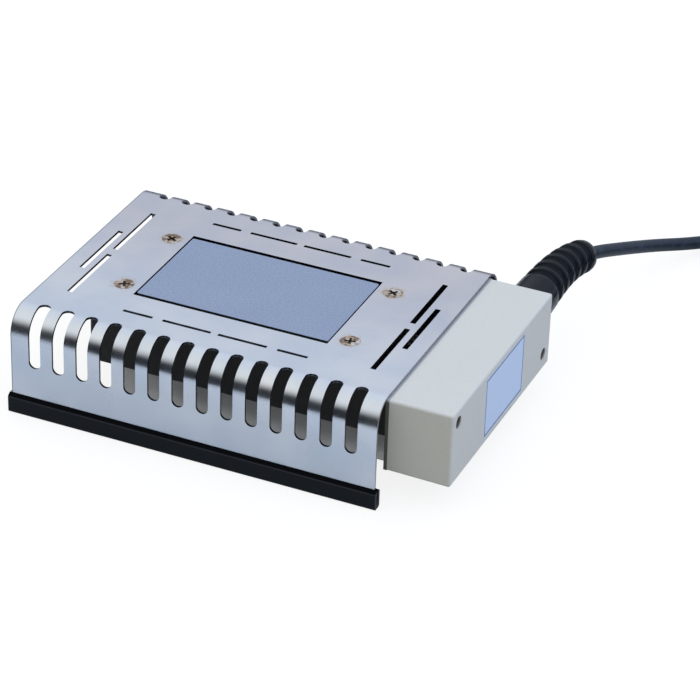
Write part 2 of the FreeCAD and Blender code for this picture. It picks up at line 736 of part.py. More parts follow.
def make_connection_box():
    corners = [
        V(BOX_OPEN, -BOX_HALF_DEPTH, BOX_BOTTOM),
        V(BOX_RIGHT, -BOX_HALF_DEPTH, BOX_BOTTOM - BOX_TAPER),
        V(BOX_RIGHT, -BOX_HALF_DEPTH, BOX_TOP),
        V(BOX_OPEN, -BOX_HALF_DEPTH, BOX_TOP),
    ]
    outline = Part.makePolygon(corners + corners[:1])
    shell = Part.Face(outline).extrude(V(0, 2 * BOX_HALF_DEPTH, 0))
    rounded = [e for e in shell.Edges if not (e.BoundBox.XMax < BOX_OPEN + 1e-6)]
    shell = shell.makeFillet(BOX_FILLET, rounded)
    inner = BOX_RIGHT - BOX_WALL
    half = BOX_HALF_DEPTH - BOX_WALL
    hollow_z = (BOX_BOTTOM + BOX_FLOOR, BOX_TOP - BOX_WALL)
    shell = shell.cut(block((BOX_OPEN - 1, inner), (-half, half), hollow_z))
    bosses = [
        rod(BOX_BOSS_RADIUS, V(BOX_OPEN, sy, sz), V(inner + 0.5, sy, sz)) for sy, sz in BOX_SCREW_PLACES
    ]
    posts = [
        rod(2.2, V(RELIEF_X - CORD_RADIUS, CORD_CLAMP_Y, z), V(inner + 0.5, CORD_CLAMP_Y, z))
        for z in CLAMP_SCREW_Z
    ]
    rib = block(
        (RELIEF_X + CORD_RADIUS, inner + 0.5),
        (CORD_CLAMP_Y - 2, CORD_CLAMP_Y + 2),
        (RELIEF_Z - 3, RELIEF_Z + 3),
    )
    room = block((BOX_OPEN, BOX_RIGHT - 0.5), (-half - 1, half + 1), (BOX_BOTTOM + 0.5, BOX_TOP - 0.5))
    shell = joined([shell] + [boss.common(room) for boss in bosses] + posts + [rib])
    tools = []
    for sy, sz in BOX_SCREW_PLACES:
        tools.append(rod(2.5, V(BOX_RIGHT - BOX_SCREW_RECESS, sy, sz), V(BOX_RIGHT + 1, sy, sz)))
        tools.append(rod(1.6, V(BOX_OPEN - 1, sy, sz), V(BOX_RIGHT, sy, sz)))
    for z in CLAMP_SCREW_Z:
        mouth = V(RELIEF_X - CORD_RADIUS - 1, CORD_CLAMP_Y, z)
        tools.append(rod(1.05, mouth, V(RELIEF_X + 6, CORD_CLAMP_Y, z)))
    tools.append(rod(7.5, V(RELIEF_X, half - 1, RELIEF_Z), V(RELIEF_X, BOX_HALF_DEPTH + 1, RELIEF_Z)))
    tools.append(label_slab())
    return cut(shell, tools)


def label_slab():
    slab = block((BOX_RIGHT - LABEL_THICKNESS, BOX_RIGHT), LABEL_Y, LABEL_Z)
    corners = [e for e in slab.Edges if e.BoundBox.XLength > LABEL_THICKNESS / 2]
    return slab.makeFillet(0.8, corners)


def make_box_screws():
    seat = BOX_RIGHT - BOX_SCREW_RECESS
    length = seat - HOUSING_RIGHT + 0.8
    return Part.makeCompound(
        [
            pan_screw(V(seat, y, z), X_AXIS * -1, 2.35, 1.7, 1.5, length, 10 + 35 * index)
            for index, (y, z) in enumerate(BOX_SCREW_PLACES)
        ]
    )


def terminal_screw_places():
    return [(pole, z) for pole in POLES for z in (BLOCK_Z[0] + 3, BLOCK_Z[1] - 3)]


def core_lane(index):
    """Place on X where a core of the lead runs under the terminal block."""
    return CORE_LANE_MID + CORE_LANE_PITCH * (index - (POLE_COUNT - 1) / 2)


def make_terminal_block():
    body = block(BLOCK_X, (-BLOCK_HALF, BLOCK_HALF), BLOCK_Z)
    face = BLOCK_X[1]
    tools = [rod(1.8, V(face - 2.2, y, z), V(face + 1, y, z)) for y, z in terminal_screw_places()]
    wire_hole = WIRE_DIAMETER / 2 + 0.1
    core_hole = CORE_DIAMETER / 2 + 0.1
    for index, y in enumerate(POLES):
        upper = V(WIRE_ENTRY_X, y, BLOCK_Z[1] - 3.2)
        lower = V(core_lane(index), y, BLOCK_Z[0] - 1)
        tools.append(rod(wire_hole, upper, upper + Z_AXIS * 4.2))
        tools.append(rod(core_hole, lower, lower + Z_AXIS * 3.2))
    for y in BLOCK_FIXINGS:
        tools.append(rod(1.6, V(BLOCK_X[0] - 1, y, BLOCK_MID), V(face + 1, y, BLOCK_MID)))
    for y in POLES[:-1]:
        waist = (y + POLE_PITCH / 2 - 0.5, y + POLE_PITCH / 2 + 0.5)
        tools.append(block((face - 3, face + 1), waist, (BLOCK_Z[0] - 1, BLOCK_Z[0] + 2)))
    return cut(body, tools)


def make_terminal_screws():
    screws = []
    for y, z in terminal_screw_places():
        seat = BLOCK_X[1] - 2.2
        head = rod(1.6, V(seat, y, z), V(seat + 1.4, y, z))
        screws.append(head.cut(block((seat + 0.7, seat + 2), (y - 2, y + 2), (z - 0.25, z + 0.25))))
    return Part.makeCompound(screws)


def make_block_screws():
    length = BLOCK_X[1] - HOUSING_RIGHT - 0.2
    return Part.makeCompound(
        [pan_screw(V(BLOCK_X[1], y, BLOCK_MID), X_AXIS * -1, 2.6, 1.7, 1.25, length) for y in BLOCK_FIXINGS]
    )


def make_cord_clamp():
    x = (RELIEF_X - CORD_RADIUS - 2.6, RELIEF_X - CORD_RADIUS)
    reach = CORD_CLAMP_SPREAD + 2.0
    bar = block(x, (CORD_CLAMP_Y - 2.5, CORD_CLAMP_Y + 2.5), (RELIEF_Z - reach, RELIEF_Z + reach))
    corners = [e for e in bar.Edges if e.BoundBox.XLength > 1]
    bar = bar.makeFillet(1.5, corners)
    holes = [rod(1.2, V(x[0] - 1, CORD_CLAMP_Y, z), V(x[1] + 1, CORD_CLAMP_Y, z)) for z in CLAMP_SCREW_Z]
    return cut(bar, holes)


def make_cord_clamp_screws():
    seat = RELIEF_X - CORD_RADIUS - 2.6
    return Part.makeCompound(
        [pan_screw(V(seat, CORD_CLAMP_Y, z), X_AXIS, 1.9, 1.5, 1.0, 8.0) for z in CLAMP_SCREW_Z]
    )


def relief_bore():
    stations = [0.0] + [RELIEF_COLLAR + (RELIEF_LENGTH - RELIEF_COLLAR) * i / 12 for i in range(13)]
    return Part.makeLoft([relief_circle(s, CORD_RADIUS) for s in stations], True, True)


def make_strain_relief():
    """A collar, then ribs on a tapering and bending core.

    A neck and an inside flange hold it in the box's wall.
    """
    slope = (RELIEF_TIP_RADIUS - RELIEF_BASE_RADIUS) / RELIEF_LENGTH
    pitch = (RELIEF_LENGTH - RELIEF_COLLAR - 2.0) / RIB_COUNT
    sections = [(0.0, 0.0), (RELIEF_COLLAR - 0.6, 0.0)]
    for rib in range(RIB_COUNT):
        start = RELIEF_COLLAR + rib * pitch
        sections += [
            (start, RIB_DEPTH),
            (start + 0.45 * pitch, RIB_DEPTH),
            (start + 0.6 * pitch, 0.0),
            (start + 0.9 * pitch, 0.0),
        ]
    sections.append((RELIEF_LENGTH - 2.0, RIB_DEPTH * 0.2))
    sections.append((RELIEF_LENGTH, RIB_DEPTH))
    circles = [relief_circle(s, RELIEF_BASE_RADIUS + slope * s - sunk) for s, sunk in sections]
    outside = Part.makeLoft(circles, True, True)
    inside = BOX_HALF_DEPTH - BOX_WALL
    neck = rod(7.5, V(RELIEF_X, inside, RELIEF_Z), V(RELIEF_X, BOX_HALF_DEPTH, RELIEF_Z))
    flange = rod(8.6, V(RELIEF_X, inside - 1.8, RELIEF_Z), V(RELIEF_X, inside, RELIEF_Z))
    entry = rod(CORD_RADIUS, V(RELIEF_X, inside - 3, RELIEF_Z), V(RELIEF_X, BOX_HALF_DEPTH, RELIEF_Z))
    return joined([outside, neck, flange]).cut(entry).cut(relief_bore())


def make_cord_end():
    straight = rod(CORD_RADIUS, V(RELIEF_X, JACKET_END_Y, RELIEF_Z), V(RELIEF_X, BOX_HALF_DEPTH, RELIEF_Z))
    return straight.fuse(relief_bore()).removeSplitter()


def make_cord_cores():
    """The lead's cores fan out of the jacket, run under the terminal block and turn up into their poles."""
    lane_z = BLOCK_Z[0] - 3.4
    cores = []
    for index, pole in enumerate(POLES):
        side = RELIEF_X + CORE_PITCH * (index - (POLE_COUNT - 1) / 2)
        lane = core_lane(index)
        points = [
            V(side, JACKET_END_Y, RELIEF_Z),
            V(side, JACKET_END_Y - 4, RELIEF_Z),
            V(lane, BLOCK_HALF + 1.5, lane_z),
            V(lane, pole, lane_z - 0.05),
            V(lane, pole, BLOCK_Z[0] + 2),
        ]
        cores.append(wire_along(points, CORE_DIAMETER))
    return Part.makeCompound(cores)


def coil_ends():
    """Where the coil's straight ends begin and finish."""
    start = coil_point(0) - coil_direction(0) * CORD_DIAMETER
    end = coil_point(COIL_TURNS) + coil_direction(COIL_TURNS) * CORD_DIAMETER
    return start, end


def lead_points():
    tip = relief_point(RELIEF_LENGTH)
    start, _ = coil_ends()
    first = tip + relief_direction(RELIEF_LENGTH) * LEAD_OUT
    return [tip, first] + list(LEAD_ROUTE) + [start - coil_direction(0) * LEAD_IN, start]


def tail_points():
    _, end = coil_ends()
    return [end, end + coil_direction(COIL_TURNS) * TAIL_OUT, TAIL_TURN, PLUG_START]


def coil_path():
    start, end = coil_ends()
    quarters = int(round(COIL_TURNS * 4))
    stations = [i / 4 for i in range(quarters + 1)]
    edges = [Part.LineSegment(start, coil_point(0)).toShape()]
    for low, high in zip(stations, stations[1:]):
        edges += biarc(coil_point(low), coil_direction(low), coil_point(high), coil_direction(high))
    edges.append(Part.LineSegment(coil_point(COIL_TURNS), end).toShape())
    return Part.Wire(edges)


def least_self_gap(path):
    """The smallest gap between turns of the wound lead, measured on points along its centre line."""
    spacing = 1.5
    points = path.discretize(Distance=spacing)
    skip = int(4 * CORD_DIAMETER / spacing)
    nearest = min(
        (points[i] - points[j]).Length for i in range(len(points)) for j in range(i + skip, len(points))
    )
    return nearest - CORD_DIAMETER


def make_coil_tie():
    """A flat band round all turns of the coil, with a small buckle on top."""
    turn = (COIL_START_ANGLE - TIE_ANGLE) / 360
    radii = []
    while turn <= COIL_TURNS:
        radii.append((coil_point(turn) - COIL_CENTRE - Z_AXIS * coil_point(turn).z).Length)
        turn += 1
    clear = CORD_RADIUS + TIE_SIDE_GAP
    low = min(radii) - clear
    high = max(radii) + clear
    bottom = COIL_FLOOR - TIE_GAP
    top = COIL_FLOOR + CORD_DIAMETER + COIL_LAYER + TIE_GAP
    wall = TIE_THICKNESS
    half = TIE_WIDTH / 2
    outside = block((low - wall, high + wall), (-half, half), (bottom - wall, top + wall))
    along = [e for e in outside.Edges if e.BoundBox.YLength > 1]
    outside = outside.makeFillet(2.2, along)
    inside = block((low, high), (-half - 1, half + 1), (bottom, top))
    along = [e for e in inside.Edges if e.BoundBox.YLength > 1]
    inside = inside.makeFillet(1.6, along)
    buckle = block((high - 7, high - 1), (-half - 1, half + 1), (top + wall / 2, top + wall + 2.0))
    band = joined([outside.cut(inside), buckle])
    band.rotate(V(0, 0, 0), Z_AXIS, TIE_ANGLE)
    band.translate(COIL_CENTRE)
    return band


def plug_point(distance):
    return PLUG_START + PLUG_AXIS * distance


def plug_rod(radius, span):
    return rod(radius, plug_point(span[0]), plug_point(span[1]))


def clip_bore():
    return plug_rod(CLIP_RADII[0], (CLIP_SPAN[0] - 1, CLIP_SPAN[1] + 1))


def make_connector_boot():
    flare = cone(BOOT_RADII[0], BOOT_RADII[1], plug_point(0), plug_point(SHELL_SPAN[0]))
    root = plug_rod(5.0, (SHELL_SPAN[0], BOOT_LENGTH))
    grooves = []
    for index in range(3):
        at = 3.0 + 3.6 * index
        grooves.append(plug_rod(9.0, (at, at + 1.2)).cut(plug_rod(3.6 + 0.5 * index, (at - 1, at + 3))))
    return cut(joined([flare, root]), grooves)


def make_connector_shell():
    grip = plug_rod(SHELL_RADIUS, SHELL_SPAN)
    ends = [e for e in grip.Edges if isinstance(e.Curve, Part.Circle)]
    grip = grip.makeFillet(0.8, ends)
    nose = plug_rod(NOSE_RADIUS, (SHELL_SPAN[1] - 1, NOSE_END))
    body = joined([grip, nose])
    tools = [
        plug_rod(5.0, (SHELL_SPAN[0] - 1, BOOT_LENGTH)),
        plug_rod(NOSE_BORE, (SHELL_SPAN[1] + 3, NOSE_END + 1)),
        plug_rod(NOSE_RADIUS + 1, CLIP_SPAN).cut(clip_bore()),
    ]
    reach = SHELL_RADIUS + 0.55
    flute_start = plug_point(SHELL_SPAN[0] + 8)
    flute_end = plug_point(SHELL_SPAN[1] - 3)
    for index in range(18):
        angle = math.radians(20 * index + 10)
        place = V(reach * math.cos(angle), 0, reach * math.sin(angle))
        tools.append(rod(1.1, flute_start + place, flute_end + place))
    return cut(body, tools)


def make_connector_clip():
    return plug_rod(CLIP_RADII[1], CLIP_SPAN).cut(clip_bore())


def pin_places():
    """Pins round the insert, with one place left open as the key."""
    for index in range(PIN_COUNT):
        angle = math.radians(45 * index + 22.5)
        yield V(PIN_CIRCLE * math.cos(angle), 0, PIN_CIRCLE * math.sin(angle))


def make_connector_insert():
    disc = plug_rod(NOSE_BORE, (SHELL_SPAN[1] + 3, SHELL_SPAN[1] + 8))
    holes = [
        rod(PIN_RADIUS, plug_point(SHELL_SPAN[1] + 2) + place, plug_point(SHELL_SPAN[1] + 9) + place)
        for place in pin_places()
    ]
    return cut(disc, holes)


def make_connector_pins():
    start = plug_point(SHELL_SPAN[1] + 3)
    end = plug_point(NOSE_END - 0.5)
    return Part.makeCompound([rod(PIN_RADIUS, start + place, end + place) for place in pin_places()])


def make_connector_ring():
    """The captive ring that is screwed onto the socket, between the grip's shoulder and the clip."""
    ring = plug_rod(RING_RADIUS, RING_SPAN)
    ends = [e for e in ring.Edges if isinstance(e.Curve, Part.Circle)]
    ring = ring.makeFillet(0.3, ends)
    tools = [
        plug_rod(NOSE_RADIUS + RING_CLEARANCE, (RING_SPAN[0] - 1, RING_SPAN[1])),
        plug_rod(RING_BORE, (RING_SPAN[0] + RING_FLANGE, RING_SPAN[1] + 1)),
    ]
    reach = RING_RADIUS + 0.3
    groove_start = plug_point(RING_SPAN[0] + 1.5)
    groove_end = plug_point(RING_SPAN[1] - 1.5)
    for index in range(24):
        angle = math.radians(15 * index)
        place = V(reach * math.cos(angle), 0, reach * math.sin(angle))
        tools.append(rod(0.6, groove_start + place, groove_end + place))
    return cut(ring, tools)


def report_tube(name, path, tube, radii):
    length = path.Length
    share = tube.Volume / (math.pi * CORD_RADIUS ** 2 * length)
    print(name, "length", round(length, 1), "volume share", round(share, 4), "valid", tube.isValid())
    if radii:
        print(name, "radii", [round(r, 1) for r in radii])


def make_cord_tubes():
    """The lead's three stretches: free, wound and from the coil to the plug."""
    lead, lead_radii = route_path(lead_points())
    coil = coil_path()
    tail, tail_radii = route_path(tail_points())
    stretches = (("cord_lead", lead, lead_radii), ("cord_coil", coil, []), ("cord_tail", tail, tail_radii))
    tubes = {}
    for name, path, radii in stretches:
        tubes[name] = swept(path, CORD_RADIUS)
        report_tube(name, path, tubes[name], radii)
    print("cord_coil least gap to itself", round(least_self_gap(coil), 2))
    print("lead outside the relief", round(lead.Length + coil.Length + tail.Length, 1))
    return tubes


def main():
    os.makedirs("parts", exist_ok=True)
    shapes = {
        "cover": make_cover(),
        "front_edge_strip": make_edge_strip(-1),
        "rear_edge_strip": make_edge_strip(1),
        "heating_plate": make_heating_plate(),
        "heating_element": make_heating_element(),
        "pressure_plate": make_pressure_plate(),
        "insulation_board": make_insulation_board(),
        "standoffs": make_standoffs(),
        "ceramic_spacers": make_ceramic_spacers(),
        "plate_screws": make_plate_screws(),
        "heater_housing": make_heater_housing(),
        "heat_baffle": make_heat_baffle(),
        "heat_shield": make_heat_shield(),
        "shield_spacers": make_shield_spacers(),
        "shield_screws": make_shield_screws(),
        "shield_nuts": make_shield_nuts(),
        "temperature_sensor": make_temperature_sensor(),
        "sensor_leads": make_sensor_leads(),
        "heater_leads": make_heater_leads(),
        "earth_lead": make_earth_lead(),
        "earth_screw": make_earth_screw(),
        "lead_grommet": make_lead_grommet(),
        "box_back_plate": make_box_back_plate(),
        "plate_rivets": make_plate_rivets(),
        "connection_box": make_connection_box(),
        "box_screws": make_box_screws(),
        "rating_label": label_slab(),
        "terminal_block": make_terminal_block(),
        "terminal_screws": make_terminal_screws(),
        "block_screws": make_block_screws(),
        "cord_clamp": make_cord_clamp(),
        "cord_clamp_screws": make_cord_clamp_screws(),
        "strain_relief": make_strain_relief(),
        "cord_end": make_cord_end(),
        "cord_cores": make_cord_cores(),
        "coil_tie": make_coil_tie(),
        "connector_boot": make_connector_boot(),
        "connector_shell": make_connector_shell(),
        "connector_clip": make_connector_clip(),
        "connector_insert": make_connector_insert(),
        "connector_pins": make_connector_pins(),
        "connector_ring": make_connector_ring(),
    }
    shapes.update(make_cord_tubes())
    for name, shape in shapes.items():
        shape.exportStep("parts/" + name + ".step")
        if not shape.isValid():
            print("not valid:", name)


main()
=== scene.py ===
"""Looks for a bench heating plate: its finishes, its lead, its strain relief and a plain studio."""
import bmesh
import bpy
import math
from mathutils import Matrix, Vector


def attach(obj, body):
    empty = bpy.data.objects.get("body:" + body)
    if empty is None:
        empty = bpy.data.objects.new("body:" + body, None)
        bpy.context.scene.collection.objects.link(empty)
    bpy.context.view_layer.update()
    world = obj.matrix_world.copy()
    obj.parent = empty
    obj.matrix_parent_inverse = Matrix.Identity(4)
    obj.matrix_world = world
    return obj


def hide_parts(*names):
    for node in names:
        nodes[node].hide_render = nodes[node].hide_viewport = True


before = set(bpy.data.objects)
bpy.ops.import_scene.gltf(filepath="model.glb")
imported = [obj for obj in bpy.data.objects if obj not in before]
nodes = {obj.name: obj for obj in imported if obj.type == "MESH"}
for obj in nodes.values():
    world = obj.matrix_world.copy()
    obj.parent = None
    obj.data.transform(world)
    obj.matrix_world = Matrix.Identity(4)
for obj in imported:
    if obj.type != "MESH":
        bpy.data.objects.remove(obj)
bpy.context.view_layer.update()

# Lengths are in millimetres here, as in the part's source, and in metres in Blender
MM = 0.001

# Camera, in metres, with its lens and sensor in millimetres
CAMERA_PLACE = Vector((0.42012, -0.92612, 0.62714))
CAMERA_RIGHT = Vector((0.9127282, 0.4074880, 0.0296773))
CAMERA_UP = Vector((-0.2323255, 0.4578870, 0.8581168))
CAMERA_CLIP = (0.01, 50.0)
LENS = 159.25
SENSOR = 36.0

# Dark cards in front of the heater and behind it: left end, right end, place on Y and height
FLAGS = {
    "flag_front": (-180.0, 75.0, -157.0, 78.0),
    "flag_rear": (-280.0, 30.0, 330.0, 70.0),
}

# Floor: half its side in metres, and how bright it looks to the camera and in reflections, there
# first under the heater, a painted shadow, and then away from it
FLOOR_HALF = 12.0
FLOOR_TO_CAMERA = 0.84
FLOOR_REFLECTED = (0.03, 0.28)

# The unlit part of the sky lies this far to the left, where the sky is a sphere of radius 1
UNLIT_LEFT = 0.336

# Heater
COVER_MID = -12.4
COVER_LENGTH = 150.0
COVER_TOP = 43.2
COVER_HALF_DEPTH = 58.4
COVER_SHEET = 1.0
BEND_RADIUS = 10.0
BEND_BOTTOM = COVER_TOP - BEND_RADIUS
PLATE_SCREW_HALF = (47.0, 20.0)
SHIELD_X = (-51.5, 61.8)
SHIELD_HALF_DEPTH = 37.5
STRIP_SHOULDER = 7.1
BOX_RIGHT = 88.4
BOX_TOP = 41.8
BOX_SCREW_PLACES = ((-44.4, 36.6), (43.0, 18.4))
BOX_SCREW_RECESS = 2.6
LABEL_Y = (-17.6, 21.0)
LABEL_Z = (14.2, 39.4)
LABEL_LINE_INSET = 0.75

# Strain relief, as distances along its axis from the outside of the box
RELIEF_BASE = Vector((76.6, 49.9, 30.1))
RELIEF_LENGTH = 59.2
RELIEF_COLLAR = 17.5
RELIEF_TIP = 2.0
RELIEF_RADII = (9.3, 6.8)
RELIEF_SIDEWAYS = 3.7
RELIEF_DROOP = 3.2
RELIEF_FLANGE = (-3.8, -2.0)
RELIEF_FLANGE_RADIUS = 8.6
RELIEF_NECK_RADIUS = 7.45
RELIEF_FIT = 0.02
RELIEF_COLLAR_STEPS = 8
RELIEF_BORE_STEPS = 14
RIB_COUNT = 6
RIB_DEPTH = 1.3
RIB_CROWN = 0.38
RIB_STEPS = 18

# Lead
CORD_DIAMETER = 5.4
LEAD_OUT = 9.0
LEAD_ROUTE = (
    (87.0, 134.0, 19.3),
    (91.0, 148.4, 14.2),
    (95.6, 160.6, 10.1),
    (102.6, 173.2, 6.2),
    (111.0, 184.2, 4.2),
    (120.6, 194.3, 3.5),
)
LEAD_IN = 13.0
COIL_CENTRE = Vector((161.0, 175.0, 0.0))
COIL_START_ANGLE = 110.0
COIL_TURNS = 6.25
COIL_INNER_RADIUS = 18.2
COIL_STEP = 6.0
COIL_LAYER = 6.0
COIL_CLIMB_TURNS = 0.5
COIL_FLOOR = 0.95
COIL_POINTS_PER_TURN = 24
TAIL_OUT = 12.0
TAIL_TURN = Vector((202.4, 159.8, 9.0))
PLUG_START = Vector((202.4, 148.8, 9.0))


def link(obj):
    bpy.context.scene.collection.objects.link(obj)
    return obj


class Nodes:
    """Short ways to add nodes to a shader tree and to link them."""

    def __init__(self, tree):
        self.tree = tree

    def add(self, kind, **settings):
        node = self.tree.nodes.new(kind)
        for key, value in settings.items():
            setattr(node, key, value)
        return node

    def feed(self, socket, value):
        if isinstance(value, bpy.types.NodeSocket):
            self.tree.links.new(value, socket)
        else:
            socket.default_value = value

    def math(self, operation, a, b=0.0):
        node = self.add("ShaderNodeMath", operation=operation)
        self.feed(node.inputs[0], a)
        self.feed(node.inputs[1], b)
        return node.outputs[0]

    def split(self, vector):
        node = self.add("ShaderNodeSeparateXYZ")
        self.feed(node.inputs[0], vector)
        return node.outputs

    def off(self, value, middle):
        """How far a value is from a middle one, on either side."""
        return self.math("ABSOLUTE", self.math("SUBTRACT", value, middle))

    def past(self, value, edge):
        """How far a value is past an edge that lies as far out on both sides of zero."""
        return self.math("SUBTRACT", self.math("ABSOLUTE", value), edge)

    def length(self, a, b):
        return self.math("SQRT", self.math("ADD", self.math("MULTIPLY", a, a), self.math("MULTIPLY", b, b)))

    def span(self, value, low, high, start=0.0, end=1.0):
        """Maps low..high onto start..end with soft ends."""
        node = self.add("ShaderNodeMapRange", interpolation_type="SMOOTHSTEP")
        for socket, number in zip(node.inputs, (value, low, high, start, end)):
            self.feed(socket, number)
        return node.outputs[0]

    def mix(self, factor, first, second):
        node = self.add("ShaderNodeMix", data_type="RGBA")
        self.feed(node.inputs[0], factor)
        for socket, colour in ((node.inputs[6], first), (node.inputs[7], second)):
            self.feed(socket, (*colour, 1.0) if isinstance(colour, tuple) else colour)
        return node.outputs[2]


class Paint(Nodes):
    """A node material: one Principled shader, and short chains of nodes that vary its inputs."""

    def __init__(self, name, **constants):
        self.slot = name
        self.material = bpy.data.materials.new(name)
        self.material.use_nodes = True
        super().__init__(self.material.node_tree)
        self.shader = self.tree.nodes["Principled BSDF"]
        self.place = self.add("ShaderNodeTexCoord").outputs["Object"]
        for socket, value in constants.items():
            self.set(socket.replace("_", " ").title().replace("Ior", "IOR"), value)

    def set(self, socket, value):
        if isinstance(value, tuple):
            value = (*value, 1.0)
        self.feed(self.shader.inputs[socket], value)

    def axes(self):
        """The place on X, Y and Z, in millimetres."""
        node = self.add("ShaderNodeVectorMath", operation="SCALE")
        self.feed(node.inputs[0], self.place)
        self.feed(node.inputs["Scale"], 1.0 / MM)
        return self.split(node.outputs[0])

    def noise(self, size, detail=3.0, stretch=(1.0, 1.0, 1.0), seed=0.0):
        """Noise whose patches are about size millimetres across, drawn out along an axis by stretch."""
        mapping = self.add("ShaderNodeMapping")
        self.feed(mapping.inputs["Vector"], self.place)
        self.feed(mapping.inputs["Location"], (seed, seed * 0.7, seed * 0.3))
        self.feed(mapping.inputs["Scale"], tuple(1.0 / s for s in stretch))
        node = self.add("ShaderNodeTexNoise")
        self.feed(node.inputs["Vector"], mapping.outputs[0])
        self.feed(node.inputs["Scale"], 1.0 / (size * MM))
        self.feed(node.inputs["Detail"], detail)
        return node.outputs[0]

    def bump(self, height, depth, below=None):
        """Surface relief of depth millimetres from a height between 0 and 1."""
        node = self.add("ShaderNodeBump")
        self.feed(node.inputs["Strength"], 1.0)
        self.feed(node.inputs["Distance"], depth * MM)
        self.feed(node.inputs["Height"], height)
        if below is not None:
            self.feed(node.inputs["Normal"], below)
        return node.outputs[0]


def shade(colour, factor):
    return tuple(min(1.0, c * factor) for c in colour)


def finish(
    name, colour, roughness, tone=0.08, patch=9.0, grain=0.5, depth=0.01, stretch=(1, 1, 1), **constants
):
    """A finish with soft patches in its colour and gloss, and a fine grain."""
    paint = Paint(name, **constants)
    patches = paint.noise(patch, seed=0.3)
    paint.set("Base Color", paint.mix(patches, shade(colour, 1 - tone), shade(colour, 1 + tone)))
    smears = paint.noise(patch * 0.6, detail=5.0, seed=1.7)
    paint.set("Roughness", paint.span(smears, 0.3, 0.7, roughness - 0.06, roughness + 0.06))
    paint.set("Normal", paint.bump(paint.noise(grain, stretch=stretch), depth))
    return paint


def heat_tint(paint, x, y):
    """How far the heat has stained the sheet round the plate's four screws, with a ragged outline."""
    dx = paint.math("SUBTRACT", paint.off(x, COVER_MID), PLATE_SCREW_HALF[0])
    dy = paint.past(y, PLATE_SCREW_HALF[1])
    ragged = paint.math("MULTIPLY", paint.noise(2.6, detail=6.0, seed=2.1), 8.0)
    away = paint.math("ADD", paint.length(dx, dy), ragged)
    return paint.span(away, 6.0, 10.0, 0.8, 0.0)


def sheet_depth(paint, y, z):
    """Depth below the outer face of the bent sheet, over its top, its bends and its legs."""
    out_y = paint.math("MAXIMUM", paint.past(y, COVER_HALF_DEPTH - BEND_RADIUS), 0.0)
    out_z = paint.math("MAXIMUM", paint.math("SUBTRACT", z, BEND_BOTTOM), 0.0)
    return paint.math("SUBTRACT", BEND_RADIUS, paint.length(out_y, out_z))


def guard_steel():
    """Satin rolled sheet: faint rolling lines and heat tint at the screws, with painted shade on the legs,
    the cut edges, a thin line at the left end and the rougher inside, darkest at the rear.
    """
    paint = Paint("guard_steel", metallic=1.0)
    x, y, z = paint.axes()
    mottle = paint.span(paint.noise(26.0, detail=4.0, seed=0.2), 0.3, 0.7)
    cool = paint.mix(mottle, (0.54, 0.593, 0.66), (0.628, 0.655, 0.687))
    warm = paint.mix(mottle, (0.487, 0.502, 0.552), (0.569, 0.552, 0.572))
    # painted shade: the legs below the bends are painted about a tenth darker than the top
    shaded_leg = paint.mix(mottle, (0.497, 0.545, 0.605), (0.58, 0.603, 0.63))
    steel = paint.mix(paint.span(y, -45.0, 40.0), cool, warm)
    steel = paint.mix(paint.span(z, 0.7 * BEND_BOTTOM, BEND_BOTTOM, 1.0, 0.0), steel, shaded_leg)
    steel = paint.mix(heat_tint(paint, x, y), steel, (0.50, 0.42, 0.33))
    depth = sheet_depth(paint, y, z)
    inside = paint.span(depth, COVER_SHEET - 0.15, COVER_SHEET - 0.05)
    # painted shade: the inside of the sheet is painted dark grey at the front and near black at the rear
    inside_shade = paint.mix(paint.span(y, -20.0, 20.0), (0.33, 0.325, 0.315), (0.05, 0.05, 0.055))
    steel = paint.mix(inside, steel, inside_shade)
    half = COVER_LENGTH / 2
    # painted shade: a thin dark line along the sheet's left end
    left_end_shade = paint.span(x, COVER_MID - half + 0.3, COVER_MID - half + 0.45, 0.75, 0.0)
    steel = paint.mix(left_end_shade, steel, (0.13, 0.14, 0.165))
    # painted shade: every cut edge of the sheet is painted near black, except the two end faces, which keep a
    # steel colour
    end_face = paint.span(paint.off(x, COVER_MID), half - 0.1, half - 0.02)
    edge = paint.mix(end_face, (0.045, 0.05, 0.06), (0.55, 0.57, 0.62))
    cut = paint.span(paint.off(depth, COVER_SHEET / 2), 0.36, 0.44, 1.0, 0.0)
    paint.set("Base Color", paint.mix(cut, steel, edge))
    satin = paint.span(paint.noise(14.0, detail=6.0, seed=4.4), 0.3, 0.7, 0.22, 0.29)
    paint.set("Roughness", paint.math("ADD", satin, paint.math("MULTIPLY", inside, 0.25)))
    waves = paint.bump(paint.noise(18.0), 0.03)
    lines = paint.noise(0.35, detail=2.0, stretch=(30, 1, 1))
    paint.set("Normal", paint.bump(lines, 0.003, below=waves))
    return paint


def coated_plate():
    """Hard matt coat with a fine grain on the top, and painted shade that makes the sides below it near
    black.
    """
    paint = Paint("plate_coated_aluminium", metallic=0.25)
    z = paint.axes()["Z"]
    grain = paint.noise(0.8, detail=3.0)
    patches = paint.noise(22.0, detail=5.0, seed=0.8)
    coat = paint.mix(patches, (0.275, 0.345, 0.478), (0.315, 0.385, 0.518))
    coat = paint.mix(paint.span(grain, 0.3, 0.75, 0.0, 0.42), coat, (0.165, 0.205, 0.315))
    # painted shade: the sides below the top are painted near black
    below = paint.span(z, COVER_TOP - 0.16, COVER_TOP - 0.08, 1.0, 0.0)
    paint.set("Base Color", paint.mix(below, coat, (0.012, 0.012, 0.014)))
    paint.set("Roughness", paint.span(grain, 0.2, 0.8, 0.5, 0.66))
    paint.set("Normal", paint.bump(grain, 0.02))
    return paint


